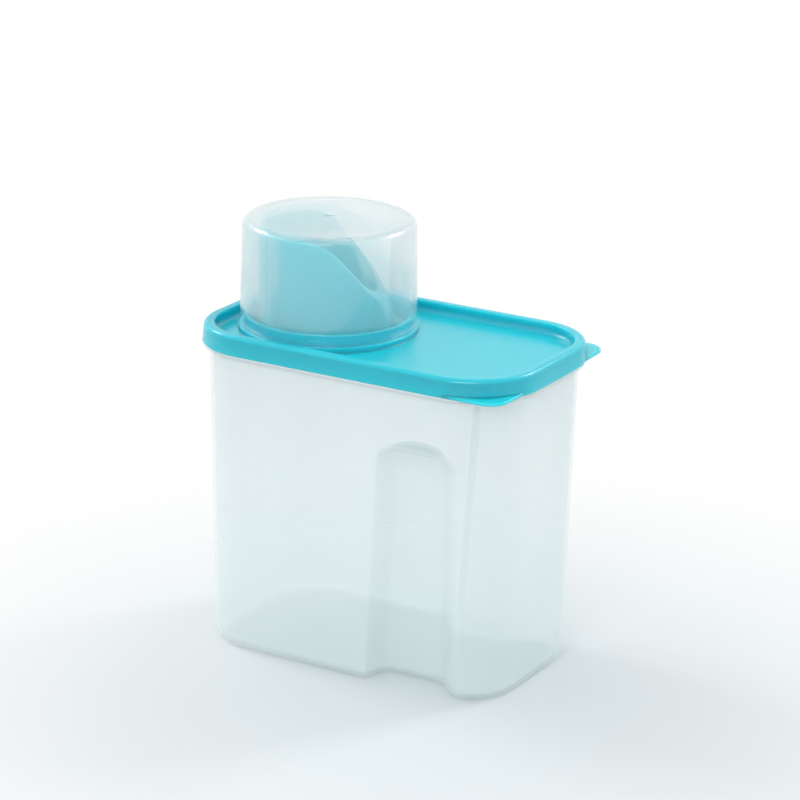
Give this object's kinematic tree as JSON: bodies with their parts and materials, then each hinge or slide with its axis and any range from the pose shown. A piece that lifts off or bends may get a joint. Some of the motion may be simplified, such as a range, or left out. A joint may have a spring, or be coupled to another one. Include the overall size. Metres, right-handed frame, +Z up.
{
  "type": "laundry powder storage box",
  "caption": "Translucent laundry powder storage box with finger recesses, a press-fit lid with a slanted pouring spout, and a clear measuring cup over the spout.",
  "frame": {"origin": "middle of the box's underside, where it stands", "axes": "+Z up, +X towards the end of the lid that has the lifting tabs, +Y towards the back"},
  "size_m": [0.1722, 0.106, 0.2037],
  "materials": {
    "frosted_box": "frosted, translucent",
    "blue_lid": "satin, slightly translucent",
    "clear_cup": "clear with a slight haze"
  },
  "bodies": {
    "box": {"storage_box": "frosted_box"},
    "lid": {"lid": "blue_lid"},
    "cup": {"measuring_cup": "clear_cup"}
  },
  "joints": [
    {"name": "lid_lift", "type": "slide", "parent": "box", "child": "lid", "axis": [0, 0, 1], "range_m": [0, 0.05]},
    {"name": "cup_lift", "type": "slide", "parent": "lid", "child": "cup", "axis": [0, 0, 1], "range_m": [0, 0.06]}
  ]
}
